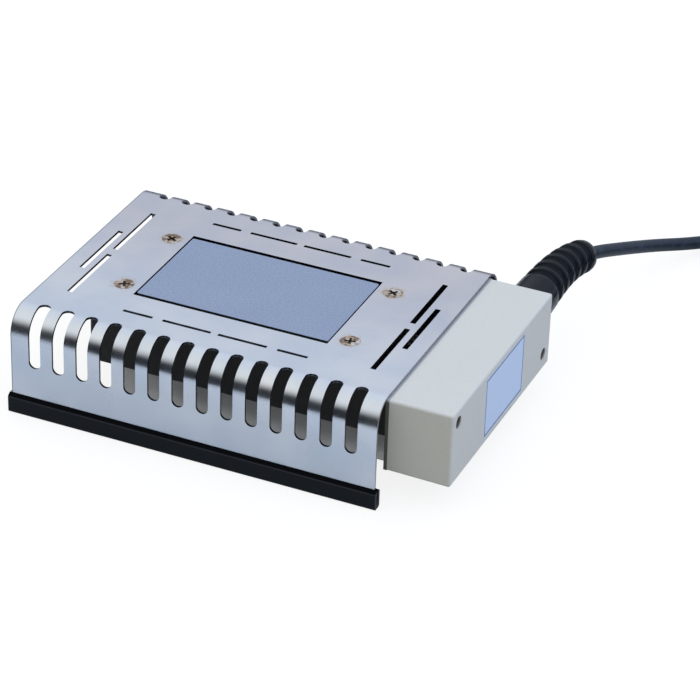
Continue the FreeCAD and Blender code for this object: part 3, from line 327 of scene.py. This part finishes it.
def strip_rubber():
    """Extruded black strip: die lines along it, a little dust, a painted highlight at the shoulder and
    painted shade on the lip above it.
    """
    paint = Paint("strip_rubber", specular_ior_level=0.12)
    z = paint.axes()["Z"]
    dust = paint.span(paint.noise(5.0, detail=8.0, seed=3.0), 0.52, 0.8)
    rubber = paint.mix(dust, (0.006, 0.009, 0.013), (0.011, 0.015, 0.020))
    # painted shade: the lip above the shoulder is painted darker and less glossy
    lip_shade = paint.span(z, STRIP_SHOULDER - 0.05, STRIP_SHOULDER + 0.15)
    rubber = paint.mix(lip_shade, rubber, (0.0025, 0.003, 0.0042))
    # painted highlight: a thin lighter line just below the shoulder
    edge_highlight = paint.span(paint.off(z, STRIP_SHOULDER - 0.3), 0.1, 0.4, 0.8, 0.0)
    paint.set("Base Color", paint.mix(edge_highlight, rubber, (0.034, 0.038, 0.046)))
    paint.set("Specular IOR Level", paint.span(lip_shade, 0.0, 1.0, 0.12, 0.02))
    paint.set("Roughness", paint.span(dust, 0.0, 1.0, 0.4, 0.58))
    lines = paint.noise(0.4, detail=2.0, stretch=(60, 1, 1))
    paint.set("Normal", paint.bump(lines, 0.03))
    return paint


def shield_sheet():
    """Dull zinc-plated sheet, with painted light that makes it lighter towards the open left end and along
    its lower edge.
    """
    paint = Paint("shield_grey", metallic=0.6)
    x, y, z = paint.axes()
    zinc = paint.mix(paint.noise(9.0, seed=0.3), (0.60, 0.59, 0.575), (0.68, 0.67, 0.65))
    # painted light: lighter along the lower edge
    low = paint.span(z, 8.0, 14.0, 1.0, 0.0)
    zinc = paint.mix(low, zinc, (0.92, 0.90, 0.87))
    # painted light: lighter towards the open left end, where light comes in
    left_end_light = paint.span(x, SHIELD_X[0] + 2.0, SHIELD_X[0] + 32.0, 1.0, 0.0)
    paint.set("Base Color", paint.mix(left_end_light, zinc, (0.98, 0.95, 0.91)))
    paint.set("Roughness", paint.span(paint.noise(5.4, detail=5.0, seed=1.7), 0.3, 0.7, 0.40, 0.52))
    paint.set("Normal", paint.bump(paint.noise(0.5, stretch=(20, 1, 1)), 0.008))
    return paint


def back_plate():
    """Dark plate, with a painted highlight along its top edge."""
    paint = Paint("back_plate_dark", specular_ior_level=0.4)
    z = paint.axes()["Z"]
    dark = paint.mix(paint.noise(9.0, seed=0.3), (0.11, 0.105, 0.098), (0.15, 0.145, 0.135))
    # painted highlight: lighter along the top edge
    edge_highlight = paint.span(z, BOX_TOP - 1.2, BOX_TOP - 0.3)
    paint.set("Base Color", paint.mix(edge_highlight, dark, (0.42, 0.43, 0.45)))
    paint.set("Roughness", paint.span(paint.noise(5.4, detail=5.0, seed=1.7), 0.3, 0.7, 0.49, 0.61))
    paint.set("Normal", paint.bump(paint.noise(0.6), 0.015))
    return paint


def box_plastic():
    """Light moulded plastic with a fine spark-eroded texture, and painted shade down in the two screw
    recesses.
    """
    paint = Paint("box_plastic", specular_ior_level=0.35)
    x, y, z = paint.axes()
    patches = paint.noise(30.0, detail=4.0, seed=0.5)
    plastic = paint.mix(patches, (0.622, 0.645, 0.612), (0.67, 0.688, 0.65))
    scuffs = paint.span(paint.noise(2.2, detail=8.0, seed=6.0), 0.62, 0.75, 0.0, 0.3)
    plastic = paint.mix(scuffs, plastic, (0.555, 0.575, 0.545))
    texture = paint.noise(0.6, detail=2.0)
    plastic = paint.mix(paint.span(texture, 0.35, 0.65, 0.0, 0.2), plastic, (0.53, 0.55, 0.515))
    sunk = paint.span(x, BOX_RIGHT - 0.8, BOX_RIGHT - 0.05, 1.0, 0.0)
    for screw_y, screw_z in BOX_SCREW_PLACES:
        away = paint.length(paint.off(y, screw_y), paint.off(z, screw_z))
        # painted shade down in the screw recesses
        recess_shade = paint.span(away, BOX_SCREW_RECESS - 0.05, BOX_SCREW_RECESS, 1.0, 0.0)
        plastic = paint.mix(paint.math("MULTIPLY", recess_shade, sunk), plastic, (0.17, 0.145, 0.135))
    paint.set("Base Color", plastic)
    paint.set("Roughness", paint.span(patches, 0.3, 0.7, 0.46, 0.56))
    paint.set("Normal", paint.bump(texture, 0.03))
    return paint


def label_film():
    """Pale blue film, bare, with a thin darker line just inside its edge."""
    paint = Paint("label_blue", specular_ior_level=0.5)
    x, y, z = paint.axes()
    inwards = []
    for value, (low, high) in ((y, LABEL_Y), (z, LABEL_Z)):
        inwards.append(paint.math("SUBTRACT", (high - low) / 2, paint.off(value, (low + high) / 2)))
    off_line = paint.off(paint.math("MINIMUM", *inwards), LABEL_LINE_INSET)
    border = paint.span(off_line, 0.28, 0.45, 1.0, 0.0)
    patches = paint.noise(12.0, detail=3.0, seed=0.9)
    film = paint.mix(patches, (0.51, 0.665, 0.915), (0.575, 0.725, 0.965))
    paint.set("Base Color", paint.mix(border, film, (0.07, 0.12, 0.27)))
    paint.set("Roughness", paint.span(patches, 0.3, 0.7, 0.34, 0.44))
    paint.set("Normal", paint.bump(paint.noise(1.5, detail=2.0), 0.006))
    return paint


def tinted_screws():
    """Plated screws gone straw, brown and a little blue from the heat."""
    paint = Paint("tinted_screws", metallic=1.0)
    z = paint.axes()["Z"]
    stain = paint.noise(2.0, detail=6.0, seed=1.1)
    straw = paint.mix(paint.span(stain, 0.44, 0.5), (0.20, 0.145, 0.11), (0.46, 0.37, 0.27))
    straw = paint.mix(paint.span(stain, 0.53, 0.64), straw, (0.56, 0.57, 0.60))
    # painted shade: darker below the top of the heads, down in their recesses
    sunk = paint.span(z, COVER_TOP - 0.6, COVER_TOP - 0.1, 0.7, 0.0)
    paint.set("Base Color", paint.mix(sunk, straw, (0.16, 0.125, 0.10)))
    paint.set("Roughness", paint.span(stain, 0.3, 0.7, 0.38, 0.26))
    paint.set("Normal", paint.bump(paint.noise(0.5), 0.02))
    return paint


def black_rubber(name, colour, roughness, gloss):
    """Black rubber or soft plastic with a dull bloom in patches."""
    paint = Paint(name, specular_ior_level=gloss)
    bloom = paint.span(paint.noise(3.5, detail=7.0, seed=2.6), 0.45, 0.8)
    paint.set("Base Color", paint.mix(bloom, colour, shade(colour, 1.9)))
    paint.set("Roughness", paint.span(bloom, 0.0, 1.0, roughness, roughness + 0.14))
    paint.set("Normal", paint.bump(paint.noise(0.4, detail=2.0), 0.012))
    return paint


def fibre_board():
    """Pale board of pressed fibres that lie flat."""
    paint = Paint("fibre_board")
    fibres = paint.noise(1.1, detail=6.0, stretch=(4, 4, 1))
    paint.set("Base Color", paint.mix(fibres, (0.66, 0.62, 0.54), (0.86, 0.84, 0.78)))
    paint.set("Roughness", paint.span(fibres, 0.3, 0.7, 0.82, 0.95))
    paint.set("Normal", paint.bump(fibres, 0.12))
    return paint


PAINTS = [
    guard_steel(),
    strip_rubber(),
    coated_plate(),
    finish("mica", (0.58, 0.52, 0.40), 0.45, tone=0.18, patch=3.0, stretch=(6, 6, 1), depth=0.02),
    finish("plain_steel", (0.55, 0.56, 0.58), 0.32, metallic=1.0, depth=0.006, stretch=(8, 1, 1)),
    fibre_board(),
    finish("ceramic", (0.80, 0.78, 0.72), 0.62, tone=0.05, grain=0.3, depth=0.015),
    tinted_screws(),
    finish("tray_black", (0.052, 0.053, 0.054), 0.62, tone=0.25, grain=0.4, depth=0.02),
    shield_sheet(),
    finish("lead_insulation", (0.045, 0.04, 0.038), 0.7, tone=0.1, grain=0.35, depth=0.05),
    finish("earth_insulation", (0.20, 0.46, 0.09), 0.45, tone=0.12, patch=4.0),
    finish("contact_brass", (0.74, 0.58, 0.28), 0.28, metallic=1.0, tone=0.12, patch=3.0),
    back_plate(),
    box_plastic(),
    label_film(),
    finish("terminal_plastic", (0.80, 0.79, 0.75), 0.3, tone=0.04, depth=0.006),
    black_rubber("relief_rubber", (0.0025, 0.005, 0.009), 0.25, 0.12),
    black_rubber("cord_jacket", (0.016, 0.026, 0.040), 0.40, 0.18),
    finish("tie_plastic", (0.03, 0.03, 0.034), 0.34, tone=0.15, grain=0.9, stretch=(1, 1, 0.5), depth=0.03),
    black_rubber("plug_plastic", (0.020, 0.020, 0.023), 0.46, 0.4),
    finish("insert_plastic", (0.08, 0.08, 0.09), 0.5, tone=0.1),
    finish("ring_metal", (0.58, 0.58, 0.60), 0.3, metallic=1.0, tone=0.08, patch=4.0, depth=0.006),
]
MATERIALS = {paint.slot: paint.material for paint in PAINTS}


def dress_nodes():
    """Gives every CAD node the finish of its own slot."""
    for node in nodes.values():
        for place in node.material_slots:
            place.material = MATERIALS[place.material.name.split(".")[0]]


def relief_point(distance):
    """Centre of the strain relief at a distance along it: straight at the collar, then bent."""
    share = max(0.0, (distance - RELIEF_COLLAR) / (RELIEF_LENGTH - RELIEF_COLLAR))
    return RELIEF_BASE + Vector((RELIEF_SIDEWAYS * share ** 3, distance, -RELIEF_DROOP * share ** 3))


def relief_direction(distance):
    return (relief_point(distance + 0.01) - relief_point(distance - 0.01)).normalized()


def turned(name, profile, centre, direction, paint, segments=64, sharp=40.0):
    """A closed form turned about a line that may bend. The profile is a ring of (distance, radius)."""
    mesh = bmesh.new()
    rings = []
    for distance, radius in profile:
        axis = direction(distance)
        side = (Vector((1, 0, 0)) - axis * axis.x).normalized()
        up = axis.cross(side)
        middle = centre(distance)
        ring = []
        for index in range(segments):
            angle = 2 * math.pi * index / segments
            point = middle + radius * (math.cos(angle) * side + math.sin(angle) * up)
            ring.append(mesh.verts.new(point * MM))
        rings.append(ring)
    for low, high in zip(rings, rings[1:] + rings[:1]):
        for index in range(segments):
            after = (index + 1) % segments
            mesh.faces.new((low[index], low[after], high[after], high[index]))
    bmesh.ops.recalc_face_normals(mesh, faces=mesh.faces)
    data = bpy.data.meshes.new(name)
    mesh.to_mesh(data)
    mesh.free()
    data.shade_smooth()
    data.set_sharp_from_angle(angle=math.radians(sharp))
    data.materials.append(MATERIALS[paint])
    return link(bpy.data.objects.new(name, data))


def relief_skin(distance, sunk):
    """A point of the strain relief's profile, sunk below its straight taper."""
    slope = (RELIEF_RADII[1] - RELIEF_RADII[0]) / RELIEF_LENGTH
    return distance, RELIEF_RADII[0] + slope * distance - sunk


def rib_sunk(share):
    """How deep the profile lies at a share of one rib's pitch: a round groove, then a crowned rib."""
    groove = 1 - RIB_CROWN
    if share < groove:
        return RIB_DEPTH * min(1.0, 1.25 * math.sin(math.pi * share / groove) ** 0.7)
    crown = (share - groove) / RIB_CROWN
    return 0.25 * (2 * crown - 1) ** 2


def make_strain_relief():
    """A smooth collar, then rounded ribs on a tapering core, with a neck and a flange inside the box."""
    bore = CORD_DIAMETER / 2 + RELIEF_FIT
    deep, shallow = RELIEF_FLANGE
    profile = [
        (deep, bore),
        (deep, RELIEF_FLANGE_RADIUS - 0.2),
        (deep + 0.2, RELIEF_FLANGE_RADIUS),
        (shallow, RELIEF_FLANGE_RADIUS),
        (shallow, RELIEF_NECK_RADIUS),
        (RELIEF_FIT, RELIEF_NECK_RADIUS),
    ]
    profile += [relief_skin(RELIEF_FIT, 0.5), relief_skin(0.15, 0.15), relief_skin(0.5, 0.0)]
    for step in range(1, RELIEF_COLLAR_STEPS):
        profile.append(relief_skin(RELIEF_COLLAR * step / RELIEF_COLLAR_STEPS, 0.0))
    profile += [relief_skin(RELIEF_COLLAR - 0.7, 0.0), relief_skin(RELIEF_COLLAR - 0.25, 0.12)]
    pitch = (RELIEF_LENGTH - RELIEF_COLLAR - RELIEF_TIP) / RIB_COUNT
    for rib in range(RIB_COUNT):
        for step in range(RIB_STEPS):
            share = step / RIB_STEPS
            profile.append(relief_skin(RELIEF_COLLAR + (rib + share) * pitch, rib_sunk(share)))
    for before_end, sunk in ((RELIEF_TIP, 0.2), (0.9, 0.35), (0.3, 0.7), (0.0, 1.3)):
        profile.append(relief_skin(RELIEF_LENGTH - before_end, sunk))
    for step in range(RELIEF_BORE_STEPS + 1):
        profile.append((RELIEF_LENGTH * (1 - step / RELIEF_BORE_STEPS), bore))
    return turned("strain_relief_rubber", profile, relief_point, relief_direction, "relief_rubber")


def coil_point(turns):
    """Centre of the wound lead after a number of turns, clockwise from above."""
    middle = COIL_TURNS / 2
    radius = COIL_INNER_RADIUS + COIL_STEP * abs(turns - middle)
    climb = min(1.0, max(0.0, (turns - middle) / COIL_CLIMB_TURNS + 0.5))
    angle = math.radians(COIL_START_ANGLE - 360 * turns)
    height = COIL_FLOOR + CORD_DIAMETER / 2 + COIL_LAYER * climb * climb * (3 - 2 * climb)
    return COIL_CENTRE + Vector((radius * math.cos(angle), radius * math.sin(angle), height))


def coil_direction(turns):
    low = max(0.0, turns - 1e-4)
    high = min(COIL_TURNS, turns + 1e-4)
    return (coil_point(high) - coil_point(low)).normalized()


def lead_points():
    """The lead's route: out of the strain relief, down to the bench, round the coil and to the plug."""
    tip = relief_point(RELIEF_LENGTH)
    start = coil_point(0) - coil_direction(0) * CORD_DIAMETER
    end = coil_point(COIL_TURNS) + coil_direction(COIL_TURNS) * CORD_DIAMETER
    points = [tip, tip + relief_direction(RELIEF_LENGTH) * LEAD_OUT]
    points += [Vector(p) for p in LEAD_ROUTE]
    points += [start - coil_direction(0) * LEAD_IN, start]
    count = round(COIL_TURNS * COIL_POINTS_PER_TURN)
    points += [coil_point(COIL_TURNS * i / count) for i in range(count + 1)]
    points += [end, end + coil_direction(COIL_TURNS) * TAIL_OUT, TAIL_TURN, PLUG_START]
    return points


def make_lead():
    """The lead as one smooth curve, in place of its three plain solids."""
    curve = bpy.data.curves.new("lead", "CURVE")
    curve.dimensions = "3D"
    points = lead_points()
    spline = curve.splines.new("NURBS")
    spline.points.add(len(points) - 1)
    for target, point in zip(spline.points, points):
        target.co = (*(point * MM), 1.0)
    spline.order_u = 3
    spline.use_endpoint_u = True
    spline.resolution_u = 6
    curve.bevel_depth = CORD_DIAMETER / 2 * MM
    curve.bevel_resolution = 7
    curve.use_fill_caps = True
    curve.materials.append(MATERIALS["cord_jacket"])
    lead = link(bpy.data.objects.new("lead", curve))
    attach(lead, "heater")
    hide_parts("cord_lead", "cord_coil", "cord_tail")


def make_camera():
    camera = bpy.data.cameras.new("camera")
    camera.lens = LENS
    camera.sensor_width = SENSOR
    camera.clip_start, camera.clip_end = CAMERA_CLIP
    back = CAMERA_RIGHT.cross(CAMERA_UP)
    turn = Matrix((CAMERA_RIGHT, CAMERA_UP, back)).transposed()
    obj = link(bpy.data.objects.new("camera", camera))
    obj.matrix_world = Matrix.Translation(CAMERA_PLACE) @ turn.to_4x4()
    bpy.context.scene.camera = obj


def floor_paint():
    """White to the camera and pale in reflections, with a painted shadow that dims it under the heater in
    reflections, and it takes the object's shadow.
    """
    paint = Paint("floor", roughness=0.9, specular_ior_level=0.0)
    x, y, z = paint.axes()
    rays = paint.add("ShaderNodeLightPath").outputs
    mirrored = paint.math("MAXIMUM", rays["Is Glossy Ray"], rays["Is Transmission Ray"])
    bounced = paint.mix(mirrored, (0.45, 0.405, 0.305), (0.575, 0.605, 0.64))
    paint.set("Base Color", paint.mix(rays["Is Camera Ray"], bounced, (0.20, 0.20, 0.20)))
    paint.set("Emission Color", paint.mix(mirrored, (1.0, 1.0, 1.0), (0.865, 0.935, 1.02)))
    left, right = SHIELD_X
    out_x = paint.math("SUBTRACT", paint.off(x, (left + right) / 2), (right - left) / 2)
    out_y = paint.past(y, SHIELD_HALF_DEPTH)
    # painted shadow: in reflections the floor is dim under the heater and brighter away from it
    floor_shadow_in_reflections = paint.span(paint.math("MAXIMUM", out_x, out_y), -6.0, 14.0, *FLOOR_REFLECTED)
    seen = paint.math("MULTIPLY", rays["Is Camera Ray"], FLOOR_TO_CAMERA)
    paint.set("Emission Strength", paint.math("MAXIMUM", seen, paint.math("MULTIPLY", mirrored, floor_shadow_in_reflections)))
    return paint


def make_floor():
    mesh = bmesh.new()
    bmesh.ops.create_grid(mesh, x_segments=2, y_segments=2, size=FLOOR_HALF)
    data = bpy.data.meshes.new("floor")
    mesh.to_mesh(data)
    mesh.free()
    data.materials.append(floor_paint().material)
    link(bpy.data.objects.new("floor", data))


def make_flags():
    """Dark cards that the camera does not see. The bends of the sheet reflect them as a dark band."""
    paint = Paint("flag", base_color=(0.035, 0.038, 0.045), roughness=0.9, specular_ior_level=0.0)
    for name, (left, right, y, top) in FLAGS.items():
        mesh = bmesh.new()
        corners = [(left, 0.0), (right, 0.0), (right, top), (left, top)]
        mesh.faces.new([mesh.verts.new((x * MM, y * MM, z * MM)) for x, z in corners])
        data = bpy.data.meshes.new(name)
        mesh.to_mesh(data)
        mesh.free()
        data.materials.append(paint.material)
        flag = link(bpy.data.objects.new(name, data))
        flag.visible_camera = False
        flag.visible_diffuse = False
        flag.visible_shadow = False


def make_world():
    """A pale studio: brightest overhead, and dark low in front to the left, where the room is not lit."""
    world = bpy.data.worlds.new("studio")
    world.use_nodes = True
    sky = Nodes(world.node_tree)
    x, y, z = sky.split(sky.add("ShaderNodeTexCoord").outputs["Generated"])
    low_front = sky.span(sky.off(x, -UNLIT_LEFT), 0.22, 0.45, 0.05, 0.30)
    front = sky.span(z, 0.25, 0.76, low_front, 1.15)
    low_rear = sky.span(z, 0.08, 0.40, 0.45, 0.90)
    rear = sky.span(z, 0.45, 0.87, low_rear, 1.08)
    across = sky.span(sky.math("ADD", x, y), -0.7, 0.4)
    colour = sky.mix(across, (0.985, 0.985, 0.97), (0.935, 0.99, 1.11))
    colour = sky.mix(sky.span(x, 0.2, 0.9), colour, (1.25, 1.40, 1.86))
    background = sky.tree.nodes["Background"].inputs
    sky.feed(background["Color"], colour)
    sky.feed(background["Strength"], sky.span(y, -0.5, 0.3, front, rear))
    bpy.context.scene.world = world


def make_studio():
    make_camera()
    make_floor()
    make_flags()
    make_world()
    bpy.context.scene.view_settings.view_transform = "Standard"


dress_nodes()
relief = make_strain_relief()
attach(relief, "heater")
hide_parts("strain_relief")
make_lead()
make_studio()
